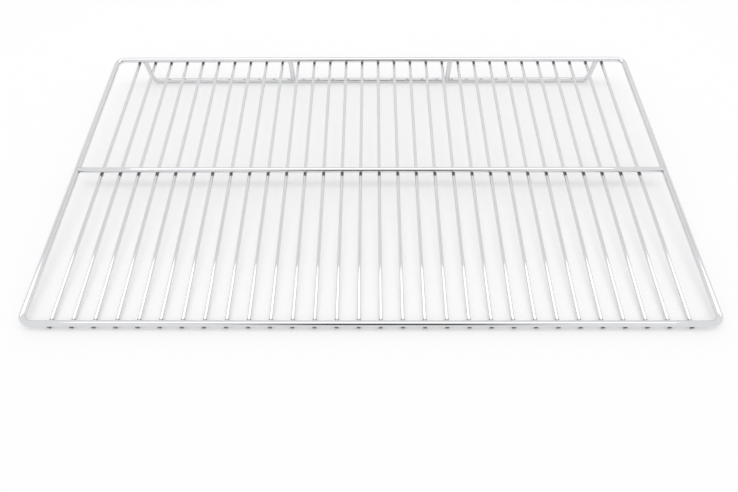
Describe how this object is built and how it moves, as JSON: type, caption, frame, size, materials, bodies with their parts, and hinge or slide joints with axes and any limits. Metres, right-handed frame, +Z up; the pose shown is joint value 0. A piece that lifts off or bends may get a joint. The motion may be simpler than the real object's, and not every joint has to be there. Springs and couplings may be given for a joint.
{
  "type": "wire shelf",
  "caption": "Rectangular wire shelf: a round-cornered frame of heavy wire with a centre bar, a deck of thin parallel wires and a raised guard rail along the back edge.",
  "frame": {"origin": "middle of the footprint of the shelf as it lies, on the surface under it", "axes": "+X along the front and back rails, towards the right-hand side rail; +Y level, from the front edge towards the guard; +Z up. The shelf lies deck side down and leans on the front ends of its deck wires and on its guard rail, so the frame's plane rises towards +Y by 4.68 degrees"},
  "size_m": [0.636, 0.3574, 0.0379],
  "materials": {
    "plated_steel": "bright nickel plating on steel wire"
  },
  "bodies": {
    "root": {"outer_frame": "plated_steel", "centre_bar": "plated_steel", "guard_rail": "plated_steel", "guard_strut_left": "plated_steel", "guard_strut_right": "plated_steel", "deck_wire_01": "plated_steel", "deck_wire_02": "plated_steel", "deck_wire_03": "plated_steel", "deck_wire_04": "plated_steel", "deck_wire_05": "plated_steel", "deck_wire_06": "plated_steel", "deck_wire_07": "plated_steel", "deck_wire_08": "plated_steel", "deck_wire_09": "plated_steel", "deck_wire_10": "plated_steel", "deck_wire_11": "plated_steel", "deck_wire_12": "plated_steel", "deck_wire_13": "plated_steel", "deck_wire_14": "plated_steel", "deck_wire_15": "plated_steel", "deck_wire_16": "plated_steel", "deck_wire_17": "plated_steel", "deck_wire_18": "plated_steel", "deck_wire_19": "plated_steel", "deck_wire_20": "plated_steel", "deck_wire_21": "plated_steel", "deck_wire_22": "plated_steel", "deck_wire_23": "plated_steel", "deck_wire_24": "plated_steel", "deck_wire_25": "plated_steel", "deck_wire_26": "plated_steel", "deck_wire_27": "plated_steel", "deck_wire_28": "plated_steel", "deck_wire_29": "plated_steel", "deck_wire_30": "plated_steel"}
  },
  "joints": []
}
